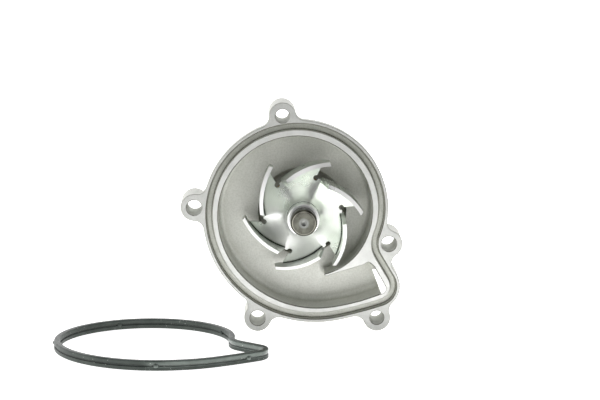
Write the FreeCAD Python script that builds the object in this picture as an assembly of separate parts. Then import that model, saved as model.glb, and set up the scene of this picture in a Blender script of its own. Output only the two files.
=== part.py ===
import FreeCAD, Part
import math
import os

# Engine coolant pump with a pressed-steel impeller, millimetres.
# Origin: where the shaft axis crosses the mounting face. +Z is up, +Y runs back along the
# shaft from the mounting face to the drive flange, and the mounting face looks along -Y.

# ---- driving dimensions ---------------------------------------------------------------------
FLANGE_THICK = 8.0          # rim of the mounting flange
LUG_DEPTH = 25.0            # length of the five bolt bosses
LUG_R = 8.15
LUG_FILLET = 6.0            # hollow corner between a boss and the rim
LUG_WEB = (10.0, 18.0, 20.0)    # web that joins a boss to the volute: width, length, depth
# bolt bosses: name -> (x, z, hole radius)
LUGS = {
    "top": (-12.3, 61.2, 4.2),
    "left": (-65.5, 5.9, 4.6),
    "right": (51.9, -16.7, 4.6),
    "lower_left": (-27.5, -62.0, 4.6),
    "lower_right": (44.8, -62.1, 4.2),
}

GROOVE_W = 3.6
GROOVE_DEPTH = 4.6
RIM_LAND = 2.2              # flat rim outside the groove
LAND_DROP = 0.15            # the inner land stands this far below the mounting face
EDGE_BREAK = 0.4            # bevels: outside of the rim and bolt holes, groove, chamber
GROOVE_BREAK = 0.6
CHAMBER_BREAK = 0.6

CHAMBER_DEPTH = 23.0
CHAMBER_FILLET = 3.0        # round between the chamber's wall and floor
WALL = 4.2
FLOOR_THICK = 4.5
BACK_ROUND = 3.0

SHAFT_R = 7.959             # 5/8 inch integral bearing shaft
SHAFT_FRONT_Y = -23.3
SHAFT_REAR_Y = 106.0
SHAFT_BEVEL = 1.6

SHEET = 2.2                 # impeller sheet
BLADES = 6
BLADE_TIP_R = 36.6
BLADE_TIP_ANGLE = 3.5
BLADE_INNER_R = 26.0
BLADE_SPAN = 50.0           # angle from a blade's tip to its inner end, at the front
BLADE_CURVE_R = 42.0
BLADE_TIP_Y = 3.0           # front edge at the tip
BLADE_INNER_Y = -9.0        # front edge at the inner end
COLLAR_FRONT_Y = -12.0
COLLAR_R = 9.7
COLLAR_ROUND = 0.8

RECESS_R = 27.0             # round recess in the chamber floor, behind the impeller
RECESS_END_Y = 31.0
SEAL_BORE_R = 18.3
SEAL_BORE_END_Y = 41.5
DRAIN_R = 13.0
DRAIN_CHAMBER_R = 16.5
DRAIN_CHAMBER = (43.0, 46.0)
WEEP_R = 2.6
HUB_R = 31.5
HUB_END_Y = 34.0
NECK_R = 22.0
NECK_START_Y = 44.0
NECK_END_Y = 88.0
RIBS = 6
RIB_THICK = 4.0

BEARING_R = 15.0
BEARING_START_Y = 47.5
BEARING_LENGTH = 38.9
BALL_R = 3.15
BALL_PITCH_R = 10.7
BALLS = 8
BALL_Y = 57.5
ROLLER_R = 2.48
ROLLER_PITCH_R = 10.46
ROLLERS = 10
ROLLER_LENGTH = 10.0
ROLLER_Y = 75.0
RACE_R = 12.3               # bore of the outer ring between its tracks
BALL_TRACK_R = 3.25
ROLLER_TRACK_R = 12.96

FLANGE_R = 33.0             # drive flange
FLANGE_Y = (97.0, 102.0)
DRIVE_HUB_R = 15.0
DRIVE_HUB_START_Y = 90.5
PILOT_R = 14.0
PILOT_END_Y = 105.0
PULLEY_PCD = 50.0
PULLEY_BOLTS = 4
PULLEY_HOLE_R = 2.5         # core of an M6 thread

# where the loose gasket lies, in front of the pump on the surface that the bosses stand on
GASKET_X = -88.6
GASKET_Y = -42.6
GASKET_TURN = 17.0
GASKET_H = 5.9
GASKET_ROUND = 0.9
GASKET_WAIST = (0.9, 0.6)   # hollow between the two lips: width, depth
GASKET_WAIST_ROUND = 0.35
GASKET_NUB_R = 1.5
GASKET_NUB_OUT = 0.9        # how far a nub stands out of the wall
STAND_Z = -70.25            # underside of the two lower bosses

FRONT = FreeCAD.Vector(0, -1, 0)
BACK = FreeCAD.Vector(0, 1, 0)
ORIGIN = FreeCAD.Vector(0, 0, 0)


# ---- helpers --------------------------------------------------------------------------------
def at(x, z, y=0.0):
    """A point of the face plane, or of a plane y behind it."""
    return FreeCAD.Vector(x, y, z)


def polar(r, degrees, y=0.0):
    a = math.radians(degrees)
    return at(r * math.cos(a), r * math.sin(a), y)


def tangent_chain(start, heading, points):
    """Arcs that run through the points, each tangent to the one before it.
    Heading is the first direction, in degrees from +X towards +Z."""
    edges = []
    angle = math.radians(heading)
    here = start
    for there in points:
        dx, dz = there[0] - here[0], there[1] - here[1]
        chord = math.atan2(dz, dx)
        half_turn = (chord - angle + math.pi) % (2 * math.pi) - math.pi
        p, q = at(*here), at(*there)
        if abs(half_turn) < 1e-3:
            edges.append(Part.LineSegment(p, q).toShape())
        else:
            sag = p.distanceToPoint(q) / 2 * math.tan(half_turn / 2)
            mid = at((here[0] + there[0]) / 2 + sag * math.sin(chord),
                     (here[1] + there[1]) / 2 - sag * math.cos(chord))
            edges.append(Part.Arc(p, mid, q).toShape())
        angle = chord + half_turn
        here = there
    return edges


def rounded_polygon(corners, y=0.0):
    """A closed wire through (x, z, radius) corners, each rounded by its radius."""
    edges = []
    n = len(corners)
    ends = []
    for i, (x, z, r) in enumerate(corners):
        here = at(x, z, y)
        before = at(*corners[i - 1][:2], y) - here
        after = at(*corners[(i + 1) % n][:2], y) - here
        before.normalize()
        after.normalize()
        if r == 0:
            ends.append((here, here, None))
            continue
        half = before.getAngle(after) / 2
        bisector = (before + after).normalize()
        centre = here + bisector * (r / math.sin(half))
        ends.append((here + before * (r / math.tan(half)), here + after * (r / math.tan(half)),
                     centre - bisector * r))
    for i in range(n):
        first, last, middle = ends[i]
        if middle is not None:
            edges.append(Part.Arc(first, middle, last).toShape())
        following = ends[(i + 1) % n][0]
        if last.distanceToPoint(following) > 1e-6:
            edges.append(Part.LineSegment(last, following).toShape())
    return Part.Wire(edges)


def slab(wire, y0, y1):
    """A flat outline in the face plane, made solid between two depths."""
    face = Part.Face(wire)
    face.translate(FreeCAD.Vector(0, y0, 0))
    return face.extrude(BACK * (y1 - y0))


def disc(r, y0, y1, x=0.0, z=0.0):
    return Part.makeCylinder(r, y1 - y0, at(x, z, y0), BACK)


def tube(r_in, r_out, y0, y1):
    return disc(r_out, y0, y1).cut(disc(r_in, y0 - 1, y1 + 1))


def turned(profile):
    """A solid of revolution about the shaft axis from (radius, y) points."""
    points = [at(r, 0, y) for r, y in profile]
    face = Part.Face(Part.makePolygon(points + [points[0]]))
    return face.revolve(ORIGIN, BACK, 360)


def round_edges(shape, radius, chosen):
    """Rounds the chosen edges."""
    picked = [e for e in shape.Edges if chosen(e)]
    return shape.makeFillet(radius, picked) if picked else shape


def break_edges(body):
    """Bevels each closed loop of sharp edges round the mounting face and the groove."""
    chamber = Part.Face(chamber_wire())
    groove = groove_wire()
    machined = [e for e in body.Edges if e.BoundBox.YLength < 1e-4
                and min(abs(e.BoundBox.YMin), abs(e.BoundBox.YMin - LAND_DROP)) < 1e-4
                and chamber.distToShape(Part.Vertex(at(e.CenterOfMass.x, e.CenterOfMass.z)))[0] > 1]
    for loop in Part.sortEdges(machined):
        centres = [e.CenterOfMass for e in loop]
        matching = [e for e in body.Edges if e.BoundBox.YLength < 1e-4
                    and min(e.CenterOfMass.distanceToPoint(c) for c in centres) < 1e-3]
        off_groove = groove.distToShape(Part.Vertex(at(centres[0].x, centres[0].z)))[0]
        beside_groove = abs(off_groove - GROOVE_W / 2) < 0.3
        body = body.makeChamfer(GROOVE_BREAK if beside_groove else EDGE_BREAK, matching)
    return body


def is_hollow_corner(edge):
    """A straight edge along Y, of the rim's depth."""
    if len(edge.Vertexes) != 2:
        return False
    span = edge.Vertexes[1].Point - edge.Vertexes[0].Point
    return abs(span.x) < 1e-4 and abs(span.z) < 1e-4 and abs(span.y) > 1


# ---- outlines in the face plane -------------------------------------------------------------
def groove_wire():
    """Centreline of the gasket groove: round over the top, in beside the right-hand bolt,
    out to a nose over the outlet, and back along the bottom."""
    start = (-56.5, 1.3)
    return Part.Wire(tangent_chain(start, 90, [
        (-3.2, 54.8), (47.2, 9.5), (44.4, -10.8), (45.5, -24.5), (53.4, -37.9),
        (47.9, -52.4), (21.1, -59.5), (-8.2, -59.0), (-45.8, -33.0), start]))


TONGUE = [(13.6, -34.7), (14.05, -36.4)]     # the two ends of the blunt lip that splits the flow
CHANNEL_TOP = (37.0, -29.6)     # outer end of the outlet channel's upper wall
OUTLET_SHOULDER = (43.0, -30.6)
OUTLET_CORNER = (51.3, -45.8)
CHANNEL_FOOT = (44.2, -48.4)
LEFT = (-51.1, 0.7)


def chamber_wire():
    """Edge of the volute: a spiral from the tongue round to the outlet channel."""
    upper = tangent_chain(LEFT, 90, [(-6.4, 48.8), (41.7, 2.3), (34.5, -20.0), *TONGUE])
    lower = tangent_chain(LEFT, -90, [(-41.3, -30.0), (17.5, -55.2), CHANNEL_FOOT])
    outlet = rounded_polygon([(*TONGUE[1], 0), (*CHANNEL_TOP, 3.0), (39.6, -27.8, 1.2),
                              (*OUTLET_SHOULDER, 3.0), (*OUTLET_CORNER, 3.2), (*CHANNEL_FOOT, 0)])
    open_side = Part.LineSegment(at(*CHANNEL_FOOT), at(*TONGUE[1])).length()
    outlet_edges = [e for e in outlet.Edges if abs(e.Length - open_side) > 1e-6]
    return Part.Wire(Part.__sortEdges__(upper + outlet_edges + lower))


# ---- housing --------------------------------------------------------------------------------
def flange():
    """The rim and the front of its five bolt bosses, with hollow corners where they meet."""
    outline = groove_wire().makeOffset2D(GROOVE_W / 2 + RIM_LAND)
    body = slab(outline, 0, FLANGE_THICK)
    for x, z, _ in LUGS.values():
        body = body.fuse(disc(LUG_R, 0, FLANGE_THICK, x, z))
    body = body.removeSplitter()

    def meets_boss(edge):
        if not is_hollow_corner(edge):
            return False
        p = at(edge.Vertexes[0].Point.x, edge.Vertexes[0].Point.z)
        on_boss = any(abs(p.distanceToPoint(at(x, z)) - LUG_R) < 0.01 for x, z, _ in LUGS.values())
        return on_boss and outline.distToShape(Part.Vertex(p))[0] < 0.01

    return round_edges(body, LUG_FILLET, meets_boss)


# corners of the outlet port at the front and where it leaves the floor: (x, z, round)
PORT_FRONT = [(42.9, -36.4, 0.5), (46.17, -36.4, 0.5), (*OUTLET_CORNER, 3.0), (46.3, -47.7, 0.5)]
PORT_BACK = [(42.9, -36.4, 0.5), (50.2, -36.4, 0.8), (56.7, -50.2, 6.5), (49.3, -53.2, 0.5)]


def outlet_port():
    """The opening through the floor at the end of the outlet channel. It widens backwards,
    so that its right-hand and lower walls fall away behind the land."""
    return Part.makeLoft([rounded_polygon(PORT_FRONT, -1),
                          rounded_polygon(PORT_BACK, CHAMBER_DEPTH + FLOOR_THICK + 1)], True, True)


def housing():
    floor_back = CHAMBER_DEPTH + FLOOR_THICK
    body = flange()
    width, length, depth = LUG_WEB
    for x, z, _ in LUGS.values():
        web = Part.makeBox(length, depth, width, at(-length, -width / 2))
        web.rotate(ORIGIN, FRONT, math.degrees(math.atan2(z, x)))
        web.translate(at(x, z))
        body = body.fuse([disc(LUG_R, 0, LUG_DEPTH, x, z), web])
    shell = slab(chamber_wire().makeOffset2D(WALL), 0, floor_back)
    shell = round_edges(shell, BACK_ROUND,
                        lambda e: all(abs(v.Point.y - floor_back) < 1e-3 for v in e.Vertexes))
    outlet_boss = slab(groove_wire().makeOffset2D(GROOVE_W / 2 + RIM_LAND), 0, floor_back)
    outlet_boss = outlet_boss.common(disc(17, 0, floor_back, 47, -41))
    hub = turned([(0, 20), (HUB_R, 20), (HUB_R, HUB_END_Y), (NECK_R + 1.5, NECK_START_Y),
                  (NECK_R, NECK_END_Y), (0, NECK_END_Y)])
    body = body.fuse([shell, outlet_boss, hub])
    rib_profile = [(20, 26), (40, 26), (40, floor_back + 1.5), (NECK_R - 1, 72), (20, 72)]
    for k in range(RIBS):
        rib = Part.Face(Part.makePolygon([at(r, -RIB_THICK / 2, y) for r, y in rib_profile
                                          + rib_profile[:1]])).extrude(at(0, RIB_THICK))
        rib.rotate(ORIGIN, FRONT, 360 * k / RIBS)
        body = body.fuse(rib)

    chamber = slab(chamber_wire(), -1, CHAMBER_DEPTH)

    def on_floor(edge):
        if any(abs(v.Point.y - CHAMBER_DEPTH) > 1e-3 for v in edge.Vertexes):
            return False
        middle = edge.valueAt((edge.FirstParameter + edge.LastParameter) / 2)
        in_outlet = middle.x > CHANNEL_TOP[0] - 0.1 and middle.z < CHANNEL_TOP[1] + 2
        return not in_outlet

    chamber = round_edges(chamber, CHAMBER_FILLET, on_floor)
    bevel = CHAMBER_BREAK + 0.02    # ends just inside the chamber's wall
    lip = slab(chamber_wire().makeOffset2D(CHAMBER_BREAK), -1, LAND_DROP + bevel)
    lip = lip.makeChamfer(bevel, [e for e in lip.Edges
                                  if min(v.Point.y for v in e.Vertexes) > LAND_DROP])
    bores = [chamber, lip, outlet_port(),
             disc(RECESS_R, CHAMBER_DEPTH - 1, RECESS_END_Y),
             disc(SEAL_BORE_R, RECESS_END_Y - 1, SEAL_BORE_END_Y),
             disc(DRAIN_R, SEAL_BORE_END_Y - 1, BEARING_START_Y + 1),
             disc(DRAIN_CHAMBER_R, *DRAIN_CHAMBER),
             disc(BEARING_R, BEARING_START_Y, NECK_END_Y + 1),
             Part.makeCylinder(WEEP_R, 2 * NECK_R + 10, at(0, -NECK_R - 5, sum(DRAIN_CHAMBER) / 2),
                               at(0, 1))]
    for x, z, r in LUGS.values():
        bores.append(disc(r, -1, LUG_DEPTH + 1, x, z))
    inner_edge = groove_wire().makeOffset2D(-GROOVE_W / 2)
    groove = slab(groove_wire().makeOffset2D(GROOVE_W / 2), -1, GROOVE_DEPTH)
    groove = groove.cut(slab(inner_edge, -2, GROOVE_DEPTH + 1))
    bores += [groove, slab(inner_edge, -1, LAND_DROP)]
    body = body.cut(bores).removeSplitter()
    return break_edges(body)


# ---- gasket ---------------------------------------------------------------------------------
# small half-round nubs that hold the gasket in its groove: (x, z) on its side walls
GASKET_NUBS = [(-7.7, 52.7), (-14.8, -60.3), (41.5, -57.8), (44.6, 13.0), (-56.5, 18.3),
               (-51.5, -17.6), (30.9, 46.6)]


def gasket():
    """Moulded profile gasket, lying flat in front of the pump."""
    half = GROOVE_W / 2
    centreline = groove_wire()

    def ring(outer, inner, y0, y1):
        outside = slab(centreline.makeOffset2D(outer), y0, y1)
        return outside.cut(slab(centreline.makeOffset2D(-inner), y0 - 1, y1 + 1))

    def lip(y0, y1, rounds):
        """One of the two lips; rounds gives the radius of its rims at each end."""
        body = ring(half, half, y0, y1)
        for y, radius in rounds:
            rims = [e for e in body.Edges
                    if e.BoundBox.YLength < 1e-4 and abs(e.BoundBox.YMin - y) < 1e-4]
            body = body.makeFillet(radius, rims)
        return body

    width, depth = GASKET_WAIST
    middle = GASKET_H / 2
    low, high = middle - width / 2, middle + width / 2
    body = ring(half - depth, half - depth, 1, GASKET_H - 1)
    body = body.fuse([lip(0, low, [(0, GASKET_ROUND), (low, GASKET_WAIST_ROUND)]),
                      lip(high, GASKET_H, [(GASKET_H, GASKET_ROUND), (high, GASKET_WAIST_ROUND)])])
    inset = GASKET_NUB_R - GASKET_NUB_OUT
    for x, z in GASKET_NUBS:
        near = centreline.distToShape(Part.Vertex(at(x, z)))[1][0][0]
        out = (at(x, z) - near).normalize()
        body = body.fuse(Part.makeSphere(GASKET_NUB_R, near + out * (half - inset) + BACK * middle))
    body.rotate(ORIGIN, at(1, 0), -90)
    body.rotate(ORIGIN, at(0, 1), GASKET_TURN)
    body.translate(at(GASKET_X, STAND_Z + GASKET_H, GASKET_Y))
    return body


# ---- impeller -------------------------------------------------------------------------------
# front face of the pressed sheet, from the collar out to the rim: (radius, y)
BELL_FRONT = [(9.95, -2.6), (10.3, -0.8), (11.2, 1.1), (12.6, 2.7), (14.6, 4.3), (17.5, 6.1),
              (21.0, 7.9), (25.0, 9.7), (30.0, 11.6), (38.0, 14.3)]


def spline(points):
    curve = Part.BSplineCurve()
    curve.interpolate([at(r, 0, y) for r, y in points])
    return curve


def bell():
    """The sheet's sloping wall: its front face and the same curve one sheet further back."""
    front = spline(BELL_FRONT)
    back_points = []
    for r, y in BELL_FRONT:
        t = front.tangent(front.parameter(at(r, 0, y)))[0]
        back_points.append((r - SHEET * t.y, y + SHEET * t.x))
    back = spline(back_points)
    ends = [Part.LineSegment(back.StartPoint, front.StartPoint),
            Part.LineSegment(front.EndPoint, back.EndPoint)]
    wire = Part.Wire(Part.__sortEdges__([c.toShape() for c in (front, back, *ends)]))
    behind = Part.Wire(Part.__sortEdges__([
        back.toShape(),
        Part.LineSegment(back.EndPoint, at(45, 0, back.EndPoint.y)).toShape(),
        Part.LineSegment(at(45, 0, back.EndPoint.y), at(45, 0, 30)).toShape(),
        Part.LineSegment(at(45, 0, 30), at(8.0, 0, 30)).toShape(),
        Part.LineSegment(at(8.0, 0, 30), back.StartPoint).toShape()]))
    return [Part.Face(w).revolve(ORIGIN, BACK, 360) for w in (wire, behind)]


def impeller():
    tip = polar(BLADE_TIP_R, BLADE_TIP_ANGLE)
    inner = polar(BLADE_INNER_R, BLADE_TIP_ANGLE + BLADE_SPAN)
    along = (inner - tip).normalize()
    outward = at(along.z, -along.x)
    half_chord = tip.distanceToPoint(inner) / 2
    centre = (tip + inner) / 2 - outward * math.sqrt(BLADE_CURVE_R ** 2 - half_chord ** 2)

    def band_point(r_band, plan_angle):
        """Where the arc of radius r_band about the blade's centre has this plan angle."""
        u = polar(1, plan_angle)
        b = u.dot(centre)
        return u * (b + math.sqrt(b * b - centre.dot(centre) + r_band ** 2))

    # plan of the sheet between the slots
    mid_r = BLADE_CURVE_R - SHEET / 2
    step = 360 / BLADES
    relief_angle, relief_r = BLADE_TIP_ANGLE + 7, 23.8
    root_start, root_end = BLADE_TIP_ANGLE + 4.5, BLADE_TIP_ANGLE + step
    edges = []
    for k in range(BLADES):
        a = band_point(mid_r, root_start)
        m = band_point(mid_r, (root_start + root_end) / 2)
        b = band_point(mid_r, root_end)
        part_edges = [Part.LineSegment(polar(relief_r, relief_angle), a).toShape(),
                      Part.Arc(a, m, b).toShape(),
                      Part.LineSegment(b, polar(relief_r, relief_angle + step)).toShape()]
        for e in part_edges:
            e.rotate(ORIGIN, FRONT, step * k)
            edges.append(e)
    plan = slab(Part.Wire(Part.__sortEdges__(edges)), -15, 25)
    wall, behind = bell()
    sheet = wall.common(plan)

    # one blade: an arched band, cut to a sloping front edge and to the sheet's rear face
    c = (centre.x, centre.z)
    band = disc(BLADE_CURVE_R, -20, 20, *c).cut(disc(BLADE_CURVE_R - SHEET, -21, 21, *c))
    slope = (BLADE_TIP_Y - BLADE_INNER_Y) / (BLADE_TIP_R - BLADE_INNER_R)

    def front_y(r):
        return BLADE_INNER_Y + slope * (r - BLADE_INNER_R)

    envelope = turned([(19, front_y(19)), (39, front_y(39)), (39, 22), (19, 22)]).cut(behind)
    chord = 2 * half_chord
    side = [(0, -20), (chord - 1.9, -20), (chord + 4.6, 17), (chord + 4.6, 22), (3.5, 22),
            (3.5, 16.5), (0, 12.5)]
    profile = Part.makePolygon([tip + along * s + BACK * y - outward * 12
                                for s, y in side + side[:1]])
    blade = band.common(envelope).common(Part.Face(profile).extrude(outward * 24))
    collar = tube(SHAFT_R, COLLAR_R, COLLAR_FRONT_Y, 0.5)
    collar = round_edges(collar, COLLAR_ROUND, lambda e: e.BoundBox.YLength < 1e-4
                         and e.BoundBox.XMax > COLLAR_R - 0.1 and e.BoundBox.YMin < 0)
    body = sheet.fuse(collar)
    for k in range(BLADES):
        one = blade.copy()
        one.rotate(ORIGIN, FRONT, step * k)
        body = body.fuse(one)
    holes = []
    for k in range(BLADES):
        p = polar(relief_r, relief_angle + step * k)
        holes.append(disc(1.6, 5, 20, p.x, p.z))
    return body.cut(holes).cut(disc(SHAFT_R, -30, 30)).removeSplitter()


# ---- shaft and drive flange -----------------------------------------------------------------
def shaft():
    """Hardened shaft that is also the bearing's inner ring; the rear end has a centre drilling,
    the front end only a dimple."""
    front, rear, b = SHAFT_FRONT_Y, SHAFT_REAR_Y, SHAFT_BEVEL
    body = turned([(0, front), (SHAFT_R - b, front), (SHAFT_R, front + b + 0.3),
                   (SHAFT_R, rear - 1), (SHAFT_R - 1, rear), (0, rear)])
    dimple = turned([(0, front - 1), (1.7, front - 1), (1.7, front), (0.9, front + 0.5),
                     (0, front + 0.6)])
    centre_rear = turned([(0, rear + 1), (2.2, rear + 1), (2.2, rear - 0.1), (1, rear - 2),
                          (1, rear - 4), (0, rear - 4.5)])
    turning_line = tube(SHAFT_R - 0.25, SHAFT_R + 1, front + 3.6, front + 4.3)
    face_line = tube(5.5, 5.95, front - 1, front + 0.15)
    ball_track = Part.makeTorus(BALL_PITCH_R, BALL_TRACK_R, at(0, 0, BALL_Y), BACK)
    return body.cut([dimple, centre_rear, turning_line, face_line, ball_track])


def drive_flange():
    """Pressed-on hub that carries the pulley, with a pilot spigot and tapped holes."""
    body = turned([(SHAFT_R, DRIVE_HUB_START_Y), (DRIVE_HUB_R - 1, DRIVE_HUB_START_Y),
                   (DRIVE_HUB_R, DRIVE_HUB_START_Y + 1), (DRIVE_HUB_R, FLANGE_Y[0] - 1.5),
                   (DRIVE_HUB_R + 1.5, FLANGE_Y[0]), (FLANGE_R - 0.8, FLANGE_Y[0]),
                   (FLANGE_R, FLANGE_Y[0] + 0.8), (FLANGE_R, FLANGE_Y[1] - 0.8),
                   (FLANGE_R - 0.8, FLANGE_Y[1]), (PILOT_R, FLANGE_Y[1]),
                   (PILOT_R, PILOT_END_Y - 0.8), (PILOT_R - 0.8, PILOT_END_Y),
                   (SHAFT_R, PILOT_END_Y)])
    holes = []
    for k in range(PULLEY_BOLTS):
        p = polar(PULLEY_PCD / 2, 45 + 360 * k / PULLEY_BOLTS)
        holes.append(disc(PULLEY_HOLE_R, FLANGE_Y[0] - 1, FLANGE_Y[1] + 1, p.x, p.z))
    return body.cut(holes)


# ---- integral bearing -----------------------------------------------------------------------
BEARING_END_Y = BEARING_START_Y + BEARING_LENGTH
SEAL_SEAT_R = 13.4
SEAL_SEAT_DEPTH = 2.0
LIP_SEAL_THICK = 1.5


def outer_ring():
    y0, y1 = BEARING_START_Y, BEARING_END_Y
    half_track = ROLLER_LENGTH / 2 + 0.3
    body = turned([(RACE_R, y0), (BEARING_R - 0.5, y0), (BEARING_R, y0 + 0.5),
                   (BEARING_R, y1 - 0.5), (BEARING_R - 0.5, y1), (RACE_R, y1)])
    seats = [tube(1, SEAL_SEAT_R, y0 - 1, y0 + SEAL_SEAT_DEPTH),
             tube(1, SEAL_SEAT_R, y1 - SEAL_SEAT_DEPTH, y1 + 1)]
    ball_track = Part.makeTorus(BALL_PITCH_R, BALL_TRACK_R, at(0, 0, BALL_Y), BACK)
    roller_track = tube(1, ROLLER_TRACK_R, ROLLER_Y - half_track, ROLLER_Y + half_track)
    return body.cut(seats + [ball_track, roller_track])


def ring_of(piece, count):
    """Copies of a piece spaced round the shaft."""
    copies = []
    for k in range(count):
        one = piece.copy()
        one.rotate(ORIGIN, FRONT, 360 * k / count)
        copies.append(one)
    return copies


def balls():
    return Part.makeCompound(ring_of(Part.makeSphere(BALL_R, at(BALL_PITCH_R, 0, BALL_Y)), BALLS))


def ball_cage():
    """Snap-in cage: a ring with an open pocket for each ball."""
    body = tube(SHAFT_R + 1.0, RACE_R - 0.4, BALL_Y - 1.8, BALL_Y + 4.6)
    pocket = Part.makeCylinder(BALL_R + 0.12, RACE_R, at(1, 0, BALL_Y), at(1, 0))
    return body.cut(ring_of(pocket, BALLS))


def roller():
    y0 = ROLLER_Y - ROLLER_LENGTH / 2
    body = disc(ROLLER_R, y0, y0 + ROLLER_LENGTH, ROLLER_PITCH_R)
    return body.makeChamfer(0.3, [e for e in body.Edges if len(e.Vertexes) == 1])


def rollers():
    return Part.makeCompound(ring_of(roller(), ROLLERS))


def roller_cage():
    """Window cage: a tube with a slot for each roller."""
    half = ROLLER_LENGTH / 2
    body = tube(SHAFT_R + 0.9, RACE_R - 0.4, ROLLER_Y - half - 1.8, ROLLER_Y + half + 1.8)
    slot = disc(ROLLER_R + 0.12, ROLLER_Y - half - 0.15, ROLLER_Y + half + 0.15, ROLLER_PITCH_R)
    return body.cut(ring_of(slot, ROLLERS))


def lip_seal(y0, y1):
    """Rubber-lipped disc at one end of the bearing; y0 is the outer side."""
    side = 1 if y1 > y0 else -1
    return turned([(SHAFT_R + 0.05, y0 + side * 0.9), (SHAFT_R + 1.2, y0), (SEAL_SEAT_R, y0),
                   (SEAL_SEAT_R, y1), (SHAFT_R + 1.6, y1)])


# ---- coolant seal ---------------------------------------------------------------------------
SLEEVE_WALL = 0.6
SEAL_FACE_Y = 29.0          # where the carbon face meets the ceramic seat
SEAT_THICK = 3.6
SEAT_R = (10.2, 15.4)
CARBON_R = (9.6, 13.8)
CARBON_THICK = 3.8
CASE_WALL = 0.8
CASE_LIP_R = 20.3
RETAINER_Y = 33.2
SPRING_WIRE_R = 0.6
SPRING_R = 15.7
SPRING_TURNS = 4


def seal_sleeve():
    """Thin flanged sleeve on the shaft that carries the turning half of the seal."""
    r = SHAFT_R + SLEEVE_WALL
    y0 = SEAL_FACE_Y - SEAT_THICK - 2.0
    return turned([(SHAFT_R, y0 - SLEEVE_WALL), (SEAT_R[1], y0 - SLEEVE_WALL), (SEAT_R[1], y0),
                   (r, y0), (r, SEAL_BORE_END_Y + 1), (SHAFT_R, SEAL_BORE_END_Y + 1)])


def seat_cup():
    """Rubber cup that seats the ceramic ring and turns it with the sleeve."""
    r = SHAFT_R + SLEEVE_WALL
    y0 = SEAL_FACE_Y - SEAT_THICK - 2.0
    return turned([(r, y0), (SEAT_R[1], y0), (SEAT_R[1], y0 + 2.0), (SEAT_R[0], y0 + 2.0),
                   (SEAT_R[0], SEAL_FACE_Y - 0.6), (r, SEAL_FACE_Y - 0.6)])


def seal_seat():
    return tube(*SEAT_R, SEAL_FACE_Y - SEAT_THICK, SEAL_FACE_Y)


def seal_face():
    """Carbon ring with a narrow raised nose, pressed forward by the spring."""
    r_in, r_out = CARBON_R
    y = SEAL_FACE_Y
    return turned([(r_in, y + 0.8), (r_in + 1.2, y), (r_out - 0.9, y), (r_out - 0.5, y + 1.0),
                   (r_out, y + 1.2), (r_out, y + CARBON_THICK), (r_in, y + CARBON_THICK)])


def spring_retainer():
    """Pressed ring round the bellows' head that takes the spring's push."""
    r = CARBON_R[1] + 0.9
    return turned([(r, SEAL_FACE_Y + 1.6), (r + 0.5, SEAL_FACE_Y + 1.6), (r + 0.5, RETAINER_Y),
                   (SPRING_R + 0.9, RETAINER_Y), (SPRING_R + 0.9, RETAINER_Y + 0.5),
                   (r, RETAINER_Y + 0.5)])


def bellows():
    """Rubber bellows: grips the carbon ring, folds once, and seals on the case's back wall."""
    head = CARBON_R[1]
    y = SEAL_FACE_Y + CARBON_THICK
    back = SEAL_BORE_END_Y - CASE_WALL
    return turned([(head, SEAL_FACE_Y + 1.6), (head + 0.9, SEAL_FACE_Y + 1.6), (head + 0.9, y + 0.9),
                   (11.9, y + 0.9), (11.9, y + 2.2), (13.6, y + 3.6), (13.6, y + 4.6),
                   (12.2, back - 1.2), (14.6, back - 1.2), (14.6, back), (9.8, back),
                   (9.8, back - 1.2), (11.2, back - 1.2), (12.6, y + 4.2), (12.6, y + 3.9),
                   (10.9, y + 2.5), (10.9, y + 0.9), (9.8, y + 0.9), (9.8, y), (head, y)])


def seal_spring():
    """Coil between the retainer and the case's back wall, in half turns that each rise a
    little and meet with level tangents."""
    y0 = RETAINER_Y + 0.5 + SPRING_WIRE_R
    y1 = SEAL_BORE_END_Y - CASE_WALL - SPRING_WIRE_R
    rise = (y1 - y0) / (2 * SPRING_TURNS)
    halves = []
    for k in range(2 * SPRING_TURNS):
        first = polar(SPRING_R, 180 * k, y0 + rise * k)
        last = polar(SPRING_R, 180 * (k + 1), y0 + rise * (k + 1))
        centre = (first + last) / 2
        heading = polar(1, 180 * k + 90)
        axis = (first - centre).cross(heading)
        section = Part.Face(Part.Wire(Part.makeCircle(SPRING_WIRE_R, first, heading)))
        halves.append(section.revolve(centre, axis, 180))
    return halves[0].fuse(halves[1:]).removeSplitter()


def seal_case():
    """Drawn cup pressed into the housing, its lip against the recess floor."""
    r, w = SEAL_BORE_R, CASE_WALL
    y0, y1 = RECESS_END_Y, SEAL_BORE_END_Y
    return turned([(r - w, y0 - w), (CASE_LIP_R, y0 - w), (CASE_LIP_R, y0), (r, y0), (r, y1),
                   (9.6, y1), (9.6, y1 - w), (r - w, y1 - w)])


def water_slinger():
    """Rubber disc that throws seal weepage off the shaft into the drain chamber."""
    y0, y1 = DRAIN_CHAMBER
    return turned([(SHAFT_R, y0), (SHAFT_R + 2.6, y0), (SHAFT_R + 3.4, y1 - 0.8),
                   (SHAFT_R + 4.6, y1 - 0.4), (SHAFT_R + 4.6, y1), (SHAFT_R, y1)])


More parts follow.
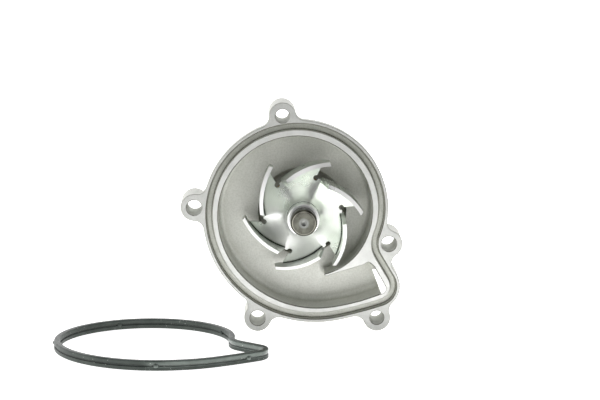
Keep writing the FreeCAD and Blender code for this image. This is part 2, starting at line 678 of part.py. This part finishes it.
# ---- every piece ----------------------------------------------------------------------------
def pieces():
    y0, y1 = BEARING_START_Y, BEARING_END_Y
    gap = SEAL_SEAT_DEPTH - LIP_SEAL_THICK
    return {
        "housing": housing(),
        "profile_gasket": gasket(),
        "impeller": impeller(),
        "pump_shaft": shaft(),
        "drive_flange": drive_flange(),
        "bearing_outer_ring": outer_ring(),
        "bearing_balls": balls(),
        "ball_cage": ball_cage(),
        "bearing_rollers": rollers(),
        "roller_cage": roller_cage(),
        "bearing_seal_front": lip_seal(y0 + gap, y0 + SEAL_SEAT_DEPTH),
        "bearing_seal_rear": lip_seal(y1 - gap, y1 - SEAL_SEAT_DEPTH),
        "seal_sleeve": seal_sleeve(),
        "seat_cup": seat_cup(),
        "seal_seat": seal_seat(),
        "seal_face": seal_face(),
        "spring_retainer": spring_retainer(),
        "seal_bellows": bellows(),
        "seal_spring": seal_spring(),
        "seal_case": seal_case(),
        "water_slinger": water_slinger(),
    }


os.makedirs("parts", exist_ok=True)
for name, shape in pieces().items():
    print(f"{name}: {len(shape.Solids)} solid(s), valid {shape.isValid()}, {shape.Volume:.0f} mm3")
    shape.exportStep(f"parts/{name}.step")
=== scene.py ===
import math

import bpy
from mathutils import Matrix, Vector


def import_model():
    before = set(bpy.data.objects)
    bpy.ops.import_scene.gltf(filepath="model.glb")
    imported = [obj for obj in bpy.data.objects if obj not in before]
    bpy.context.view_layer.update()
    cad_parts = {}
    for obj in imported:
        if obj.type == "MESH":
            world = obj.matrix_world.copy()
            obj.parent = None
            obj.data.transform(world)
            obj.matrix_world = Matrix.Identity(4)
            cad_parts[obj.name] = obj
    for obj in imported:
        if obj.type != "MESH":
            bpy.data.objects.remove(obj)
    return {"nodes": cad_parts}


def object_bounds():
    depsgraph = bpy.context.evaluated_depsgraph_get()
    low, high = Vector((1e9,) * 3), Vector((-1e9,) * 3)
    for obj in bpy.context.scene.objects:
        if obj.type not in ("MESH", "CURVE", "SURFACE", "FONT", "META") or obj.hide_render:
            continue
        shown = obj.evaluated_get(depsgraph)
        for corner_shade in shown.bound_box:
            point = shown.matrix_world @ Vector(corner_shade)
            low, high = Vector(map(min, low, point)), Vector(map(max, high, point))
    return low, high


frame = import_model()
cad_low, cad_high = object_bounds()
nodes = frame["nodes"]

MM = 0.001
FLOOR_Z = cad_low.z

# the housing, in millimetres behind the mounting face
LAND_Y = 0.15               # the machined land inside the groove
EDGE_Y = 0.9                # the broken edges at the front all end before this
DEEP_Y = (4, 7)             # the chamber's painted olive shade is weak in front of these and full behind them

# the impeller and the shaft's front end: _R in millimetres from the shaft's axis, _Y as above
PAST_COLLAR_R = 15          # outside the collar and inside the blades
BLADE_R = 25                # just inside the inner ends of the blades' front edges
BORE_R = 8.35               # a little more than the collar's bore
DIMPLE_R = 1.7
CENTRE_R = 3.0              # the end is brighter inside this
BEVEL_R = 5.7               # the bevel is outside this
HIGHLIGHT_LINE_R = (6.7, 6.9)         # painted highlight on the bevel
SIDE_Y = (20, 30)           # painted shade on the shaft's side in front of these

# how brightly the tent's walls shine, and how bright the camera sees the background
BACK_LIGHT, LEFT_LIGHT, RIGHT_LIGHT, FRONT_LIGHT = 1.85, 1.1, 0.6, 0.06
OVERHEAD_PART = 0.35        # the roof shines with this part of the walls' light
BACKGROUND = 1.2


# ---- node graphs ----------------------------------------------------------------------------
class Graph:
    """A node tree, with short calls for the nodes that are used here."""

    def __init__(self, name, owner=None):
        self.material = owner or bpy.data.materials.new(name)
        self.material.use_nodes = True
        self.tree = self.material.node_tree
        self.shader = self.tree.nodes.get("Principled BSDF") or self.tree.nodes["Background"]
        self.texture = self.add("ShaderNodeTexCoord").outputs
        self.place = self.texture["Object" if owner is None else "Generated"]

    def add(self, kind, **settings):
        node = self.tree.nodes.new(kind)
        for key, value in settings.items():
            setattr(node, key, value)
        return node

    def put(self, socket, value):
        """Links a socket to an output, or gives it a plain value."""
        if isinstance(value, bpy.types.NodeSocket):
            self.tree.links.new(value, socket)
        else:
            socket.default_value = value

    def set(self, **inputs):
        """Values or links for the shader; an underscore stands for a space in the name."""
        for key, value in inputs.items():
            self.put(self.shader.inputs[key.replace("_", " ")], value)

    def math(self, operation, a, b=0.0):
        node = self.add("ShaderNodeMath", operation=operation)
        self.put(node.inputs[0], a)
        self.put(node.inputs[1], b)
        return node.outputs[0]

    def times(self, a, b):
        return self.math("MULTIPLY", a, b)

    def flatness(self, y_normal):
        """1 where the surface faces along the shaft, 0 where it runs along it."""
        return self.math("ABSOLUTE", y_normal)

    def ramp(self, value, low, high, to_low=0.0, to_high=1.0):
        """Maps low..high on to to_low..to_high with soft ends, and holds it outside."""
        node = self.add("ShaderNodeMapRange", interpolation_type="SMOOTHSTEP")
        for socket, v in zip(node.inputs, (value, low, high, to_low, to_high)):
            self.put(socket, v)
        return node.outputs[0]

    def between(self, value, low, high, soft):
        """1 where the value lies between the two, with soft ends."""
        return self.times(self.ramp(value, low - soft, low), self.ramp(value, high + soft, high))

    def mix(self, amount, a, b):
        node = self.add("ShaderNodeMix", data_type="RGBA")
        self.put(node.inputs[0], amount)
        for socket, colour in zip(node.inputs[6:8], (a, b)):
            self.put(socket, colour if isinstance(colour, bpy.types.NodeSocket) else (*colour, 1))
        return node.outputs[2]

    def scaled(self, size_mm, where):
        """A place divided by this many millimetres."""
        mapping = self.add("ShaderNodeMapping")
        self.put(mapping.inputs["Vector"], where)
        mapping.inputs["Scale"].default_value = [1 / (size_mm * MM)] * 3
        return mapping.outputs[0]

    def noise(self, size_mm, detail=2.0, rough=0.5, where=None):
        """Soft noise with features of about this size, from 0 to 1."""
        node = self.add("ShaderNodeTexNoise")
        self.put(node.inputs["Vector"], self.scaled(size_mm, where or self.place))
        node.inputs["Scale"].default_value = 1.0
        node.inputs["Detail"].default_value = detail
        node.inputs["Roughness"].default_value = rough
        return node.outputs["Fac"]

    def tone(self, size_mm, detail=2.0, rough=0.5, to_low=0.0, to_high=1.0):
        """Noise stretched so that its tones reach both ends of the range."""
        return self.ramp(self.noise(size_mm, detail, rough), 0.3, 0.7, to_low, to_high)

    def spots(self, spacing_mm, radius):
        """1 inside small round spots that are scattered about this far apart, otherwise 0."""
        node = self.add("ShaderNodeTexVoronoi")
        self.put(node.inputs["Vector"], self.scaled(spacing_mm, self.place))
        node.inputs["Scale"].default_value = 1.0
        return self.ramp(node.outputs["Distance"], radius, radius * 0.6)

    def split(self, vector):
        node = self.add("ShaderNodeSeparateXYZ")
        self.put(node.inputs[0], vector)
        return node.outputs

    def xyz(self):
        return self.split(self.place)

    def facing(self):
        """The surface's own normal in the object's axes, split in three."""
        return self.split(self.texture["Normal"])

    def radius(self):
        """Distance from the shaft's axis, in metres."""
        x, _, z = self.xyz()
        return self.math("SQRT", self.math("ADD", self.times(x, x), self.times(z, z)))

    def spread(self, value):
        """A place that depends on one number only, for noise that runs in rings."""
        node = self.add("ShaderNodeCombineXYZ")
        self.put(node.inputs[0], value)
        return node.outputs[0]

    def hollow(self, reach_mm):
        """1 in the open, falling towards 0 in corners and hollows of this reach."""
        node = self.add("ShaderNodeAmbientOcclusion", samples=8, only_local=True)
        node.inputs["Distance"].default_value = reach_mm * MM
        return node.outputs["AO"]

    def bump(self, *layers):
        """Layers are (height, depth in mm)."""
        normal = None
        for height, depth in layers:
            node = self.add("ShaderNodeBump")
            node.inputs["Distance"].default_value = depth * MM
            self.put(node.inputs["Height"], height)
            if normal is not None:
                self.put(node.inputs["Normal"], normal)
            normal = node.outputs[0]
        self.set(Normal=normal)


# ---- materials ------------------------------------------------------------------------------
def metal(name, dark, light, blotch_mm, rough, grain_mm, grain_depth):
    """Bare metal: two tones in soft blotches, uneven roughness, and a fine grain."""
    g = Graph(name)
    g.set(Base_Color=g.mix(g.tone(blotch_mm, 4, 0.6), dark, light), Metallic=1.0,
          Roughness=g.tone(blotch_mm * 0.6, 3, 0.5, *rough))
    g.bump((g.noise(grain_mm, 3, 0.6), grain_depth))
    return g.material


def cast_aluminium():
    """Grey as cast; more metallic where the mounting face and the land inside the groove are
    machined; painted shade on the broken edges and in the corners, and painted olive shade far
    inside the chamber."""
    g = Graph("cast_aluminium")
    x, y, z = g.xyz()
    nx, ny, nz = g.facing()
    step = 0.05 * MM
    near, far = LAND_Y * MM - step, LAND_Y * MM + step
    faces_front = g.ramp(ny, -0.9, -0.99)
    at_face = g.times(g.ramp(y, near, near - step), faces_front)
    at_land = g.times(g.between(y, near, far, step), faces_front)
    machined = g.math("MAXIMUM", at_face, at_land)

    blotch = g.tone(9, 4, 0.6)
    grain = g.ramp(g.noise(1.1, 3, 0.75), 0.38, 0.66)
    cast = g.mix(blotch, (0.58, 0.585, 0.545), (0.62, 0.625, 0.585))
    cast = g.mix(g.times(grain, 0.34), cast, (0.36, 0.365, 0.32))
    face = g.mix(blotch, (0.47, 0.475, 0.455), (0.52, 0.525, 0.505))
    face = g.mix(g.times(grain, 0.22), face, (0.32, 0.325, 0.30))
    land = g.mix(blotch, (0.50, 0.505, 0.485), (0.57, 0.575, 0.555))
    colour = g.mix(at_face, cast, face)
    colour = g.mix(at_land, colour, land)

    # painted shade on the broken edges: darker on edges that look towards the shaft than on those
    # that look away from it
    outward = g.math("ADD", g.times(nx, x), g.times(nz, z))
    at_front = g.ramp(y, EDGE_Y * MM + step, EDGE_Y * MM - step)
    edge = g.times(g.between(ny, -0.84, -0.56, 0.06), at_front)
    edge_shade = g.ramp(outward, -4 * MM, 4 * MM, 0.85, 0.35)
    colour = g.mix(g.times(edge, edge_shade), colour, (0.08, 0.08, 0.06))
    # painted shade: near black in corners and hollows
    corner_shade = g.ramp(g.hollow(1.5), 0.90, 0.50)
    colour = g.mix(corner_shade, colour, (0.075, 0.077, 0.055))
    # painted shade: olive in the hollows far inside the chamber
    inside = g.ramp(y, DEEP_Y[0] * MM, DEEP_Y[1] * MM, 0.25, 1)
    deep_shade = g.times(g.ramp(g.hollow(12), 0.8, 0.3, 0, 0.6), inside)
    colour = g.mix(deep_shade, colour, (0.30, 0.32, 0.24))

    rough = g.math("ADD", g.tone(4, 3, 0.5, -0.04, 0.04), g.ramp(machined, 0, 1, 0.52, 0.56))
    g.set(Base_Color=colour, Metallic=g.ramp(machined, 0, 1, 0.45, 0.75), Roughness=rough)
    g.bump((g.noise(0.6, 3, 0.65), 0.05), (g.noise(6, 2), 0.04))
    return g.material


def zinc_plate():
    """Satin plating with faint rings; painted greenish shade on the blades' sides and painted dark
    shade in the corners and in the bore; bare bright metal where the sheet was sheared."""
    g = Graph("zinc_plate")
    _, ny, _ = g.facing()
    r = g.radius()
    sheen = g.ramp(g.noise(18, 2), 0.38, 0.62)
    colour = g.mix(sheen, (0.93, 0.96, 0.915), (0.985, 0.985, 0.975))
    rings = g.noise(0.8, 3, 0.6, where=g.spread(r))
    colour = g.mix(g.ramp(rings, 0.35, 0.75, 0.0, 0.12), colour, (0.60, 0.62, 0.55))

    # painted shade: greenish on the blades' upright sides
    upright = g.ramp(g.flatness(ny), 0.35, 0.1)
    past_collar = g.ramp(r, (PAST_COLLAR_R - 1) * MM, (PAST_COLLAR_R + 1) * MM)
    blade_side_shade = g.times(g.times(upright, past_collar), 0.6)
    colour = g.mix(blade_side_shade, colour, (0.29, 0.34, 0.27))
    # painted shade: greenish in the hollows near the blades' roots
    colour = g.mix(g.ramp(g.hollow(4), 0.62, 0.3, 0, 0.6), colour, (0.22, 0.25, 0.20))
    # painted shade: near black in the tightest corners
    colour = g.mix(g.ramp(g.hollow(1.3), 0.80, 0.45), colour, (0.03, 0.035, 0.025))

    on_blades = g.ramp(r, (BLADE_R - 0.5) * MM, (BLADE_R + 0.5) * MM)
    sheared = g.times(g.between(ny, -0.80, -0.50, 0.04), on_blades)
    colour = g.mix(sheared, colour, (0.95, 0.95, 0.94))
    # painted shade on the wall of the collar's bore
    in_bore = g.ramp(r, (BORE_R + 0.15) * MM, (BORE_R - 0.15) * MM)
    bore = g.times(in_bore, g.ramp(g.flatness(ny), 0.6, 0.4))
    colour = g.mix(bore, colour, (0.10, 0.105, 0.085))

    g.set(Base_Color=colour, Metallic=g.ramp(sheared, 0, 1, 0.82, 0.35),
          Roughness=g.tone(14, 2, 0.5, 0.27, 0.32))
    g.bump((rings, 0.012))
    return g.material


def ground_steel():
    """Turned end with fine rings and a bright centre; the small dimple and the hollows outside the
    centre carry painted shade, the bevel and the ground side in front carry painted shade, with one
    painted highlight along the bevel."""
    g = Graph("ground_steel")
    y = g.xyz()[1]
    ny = g.facing()[1]
    r = g.radius()
    ring_pitch = 0.8 * MM
    rings = g.math("SINE", g.times(r, 2 * math.pi / ring_pitch))
    tone = g.tone(2.5, 3, 0.6)
    colour = g.mix(tone, (0.15, 0.15, 0.125), (0.22, 0.22, 0.185))
    colour = g.mix(g.ramp(rings, -0.4, 0.9, 0.0, 0.25), colour, (0.11, 0.11, 0.09))
    centre = g.ramp(r, (CENTRE_R + 0.6) * MM, (CENTRE_R - 0.6) * MM, 0, 0.75)
    colour = g.mix(centre, colour, (0.34, 0.35, 0.335))
    # painted shade: the small dimple is darker
    dimple = g.ramp(r, (DIMPLE_R + 0.1) * MM, (DIMPLE_R - 0.1) * MM)
    colour = g.mix(dimple, colour, (0.14, 0.143, 0.135))

    # painted shade: near black in hollows outside the bright centre
    off_centre = g.ramp(r, (CENTRE_R - 0.6) * MM, (CENTRE_R - 0.2) * MM)
    colour = g.mix(g.times(g.ramp(g.hollow(3), 0.75, 0.35), off_centre), colour, (0.03, 0.03, 0.025))
    # painted shade on the shaft's side in front
    side = g.ramp(g.flatness(ny), 0.5, 0.3)
    in_front = g.ramp(y, SIDE_Y[1] * MM, SIDE_Y[0] * MM)
    colour = g.mix(g.times(side, in_front), colour, (0.09, 0.088, 0.075))
    # painted shade on the bevel
    at_rim = g.ramp(r, (BEVEL_R - 0.2) * MM, (BEVEL_R + 0.2) * MM)
    bevel = g.times(g.between(ny, -0.85, -0.5, 0.05), at_rim)
    colour = g.mix(bevel, colour, (0.075, 0.074, 0.06))
    # painted highlight: a bright stripe along the bevel
    bevel_highlight = g.times(bevel, g.between(r, HIGHLIGHT_LINE_R[0] * MM, HIGHLIGHT_LINE_R[1] * MM, 0.2 * MM))
    colour = g.mix(bevel_highlight, colour, (0.42, 0.41, 0.35))

    g.set(Base_Color=colour, Metallic=1.0, Roughness=g.ramp(tone, 0, 1, 0.30, 0.42))
    g.bump((g.ramp(rings, -1, 1), 0.008))
    return g.material


def rubber(name, dark, light, rough, dust=0.0):
    """Moulded rubber: a little bloom, fine grain, painted shade in its creases, and specks of dust.
    """
    g = Graph(name)
    bloom = g.ramp(g.noise(7, 4, 0.6), 0.3, 0.75)
    colour = g.mix(bloom, dark, light)
    if dust:
        colour = g.mix(g.times(g.spots(2.6, 0.10), dust), colour, (0.55, 0.56, 0.54))
    # painted shade: near black in creases
    crease_shade = g.ramp(g.hollow(0.7), 0.88, 0.6)
    colour = g.mix(crease_shade, colour, (0.002, 0.002, 0.002))
    g.set(Base_Color=colour, Roughness=g.tone(2, 3, 0.5, rough - 0.06, rough + 0.06),
          Specular_IOR_Level=0.24)
    g.bump((g.noise(0.35, 2), 0.02))
    return g.material


def moulded(name, dark, light):
    """Plastic, ceramic or carbon: an even, smooth surface with a little tone in it."""
    g = Graph(name)
    g.set(Base_Color=g.mix(g.tone(4, 3), dark, light), Roughness=g.tone(1.5, 3, 0.5, 0.38, 0.5))
    g.bump((g.noise(0.3, 2), 0.015))
    return g.material


bright_steel = metal("bearing_steel", (0.60, 0.60, 0.59), (0.70, 0.70, 0.69),
                     blotch_mm=6, rough=(0.14, 0.24), grain_mm=0.4, grain_depth=0.004)
black_rubber = rubber("black_rubber", (0.018, 0.018, 0.019), (0.032, 0.032, 0.033), rough=0.55)
stainless = metal("stainless", (0.56, 0.56, 0.55), (0.68, 0.68, 0.67),
                  blotch_mm=5, rough=(0.2, 0.32), grain_mm=0.5, grain_depth=0.008)
finishes = {
    "housing": cast_aluminium(),
    "profile_gasket": rubber("gasket_rubber", (0.050, 0.061, 0.054), (0.073, 0.087, 0.077),
                             rough=0.42, dust=0.8),
    "impeller": zinc_plate(),
    "pump_shaft": ground_steel(),
    "drive_flange": metal("flange_steel", (0.36, 0.35, 0.34), (0.42, 0.41, 0.39),
                          blotch_mm=8, rough=(0.36, 0.42), grain_mm=0.6, grain_depth=0.02),
    "bearing_outer_ring": bright_steel,
    "bearing_balls": bright_steel,
    "bearing_rollers": bright_steel,
    "ball_cage": moulded("cage_plastic", (0.13, 0.115, 0.09), (0.19, 0.165, 0.13)),
    "roller_cage": moulded("cage_plastic_rear", (0.13, 0.115, 0.09), (0.19, 0.165, 0.13)),
    "bearing_seal_front": black_rubber,
    "bearing_seal_rear": black_rubber,
    "seal_sleeve": stainless,
    "seat_cup": black_rubber,
    "seal_seat": moulded("seat_ceramic", (0.80, 0.79, 0.76), (0.88, 0.87, 0.84)),
    "seal_face": moulded("carbon", (0.022, 0.022, 0.024), (0.04, 0.04, 0.042)),
    "spring_retainer": stainless,
    "seal_bellows": black_rubber,
    "seal_spring": stainless,
    "seal_case": metal("seal_brass", (0.62, 0.45, 0.22), (0.74, 0.56, 0.30),
                       blotch_mm=5, rough=(0.26, 0.36), grain_mm=0.5, grain_depth=0.008),
    "water_slinger": black_rubber,
}
for name, material in finishes.items():
    mesh = nodes[name].data
    mesh.materials.clear()
    mesh.materials.append(material)


# ---- studio ---------------------------------------------------------------------------------
def floor():
    """A white table; it shines by itself, so that it comes out as white as the background."""
    left, right, front, back = -1.5, 1.5, -0.45, 0.6
    mesh = bpy.data.meshes.new("floor")
    corners = [(left, front), (right, front), (right, back), (left, back)]
    mesh.from_pydata([(x, y, FLOOR_Z) for x, y in corners], [], [(0, 1, 2, 3)])
    obj = bpy.data.objects.new("floor", mesh)
    bpy.context.scene.collection.objects.link(obj)
    g = Graph("floor_white")
    g.set(Base_Color=g.mix(g.noise(400, 2), (0.84, 0.84, 0.84), (0.86, 0.86, 0.86)),
          Roughness=0.9, Specular_IOR_Level=0.0, Emission_Color=(1, 1, 1, 1),
          Emission_Strength=0.95)
    mesh.materials.append(g.material)


def area_light(name, size, energy, place, turn):
    """A rectangular light that the camera itself doesn't see."""
    data = bpy.data.lights.new(name, "AREA")
    data.shape = "RECTANGLE"
    data.size, data.size_y = size
    data.energy = energy
    obj = bpy.data.objects.new(name, data)
    obj.location = place
    obj.rotation_euler = turn
    obj.visible_camera = False
    bpy.context.scene.collection.objects.link(obj)


def soft_box(name, azimuth, elevation, size, light):
    """A soft box turned to the shaft. Azimuth 0 is in front and 90 is to the right; the light is
    what falls on a surface that faces it."""
    distance = 1.2
    a, e = math.radians(azimuth), math.radians(elevation)
    place = distance * Vector((math.sin(a) * math.cos(e), -math.cos(a) * math.cos(e), math.sin(e)))
    turn = (-place).to_track_quat("-Z", "Y").to_euler()
    area_light(name, size, light * math.pi * distance ** 2, place, turn)


def table_panel():
    """A light panel just above the table, in front of the pump, that shines upwards."""
    place = (-5 * MM, -90 * MM, FLOOR_Z + 2 * MM)
    upwards = (math.pi, 0, 0)
    area_light("table_panel", (170 * MM, 110 * MM), 0.185, place, upwards)


def world():
    """A white tent: brightest behind the table, less so on the left and then on the right, dim
    overhead, and open in front, where the camera stands. The background itself is plain white."""
    sky = bpy.data.worlds.new("studio")
    bpy.context.scene.world = sky
    g = Graph("studio", sky)
    x, y, z = g.xyz()
    low = g.ramp(z, 0.9, 0.5, OVERHEAD_PART, 1.0)
    back = g.ramp(y, 0.05, 0.65, 0, BACK_LIGHT)
    right = g.ramp(x, 0.35, 0.85, 0, RIGHT_LIGHT)
    left = g.ramp(x, -0.35, -0.85, 0, LEFT_LIGHT)
    bright = g.math("MAXIMUM", back, g.math("MAXIMUM", right, left))
    bright = g.math("MAXIMUM", g.times(bright, low), FRONT_LIGHT)
    seen = g.add("ShaderNodeLightPath").outputs["Is Camera Ray"]
    g.set(Color=(1, 1, 1, 1), Strength=g.math("MAXIMUM", bright, g.times(seen, BACKGROUND)))


def camera():
    """Stands 1.4 m in front, a little above the shaft, and looks slightly down."""
    looks_down, looks_right = math.radians(9.106), math.radians(1.256)
    data = bpy.data.cameras.new("camera")
    data.lens = 138
    data.sensor_width = 36
    data.clip_start, data.clip_end = 0.05, 30
    obj = bpy.data.objects.new("camera", data)
    obj.location = (-0.03177, -1.36609, 0.22939)
    obj.rotation_euler = (math.pi / 2 - looks_down, 0, -looks_right)
    bpy.context.scene.collection.objects.link(obj)
    bpy.context.scene.camera = obj


floor()
world()
soft_box("front_left", azimuth=-54, elevation=4, size=(0.8, 0.5), light=0.74)
soft_box("front_right", azimuth=50, elevation=12, size=(0.9, 0.5), light=0.27)
soft_box("front_top", azimuth=0, elevation=25, size=(0.8, 0.32), light=0.22)
soft_box("top", azimuth=0, elevation=84, size=(0.8, 0.4), light=0.32)
table_panel()
camera()
scene = bpy.context.scene
scene.view_settings.view_transform = "Standard"
scene.view_settings.look = "None"
scene.view_settings.exposure = 0.0
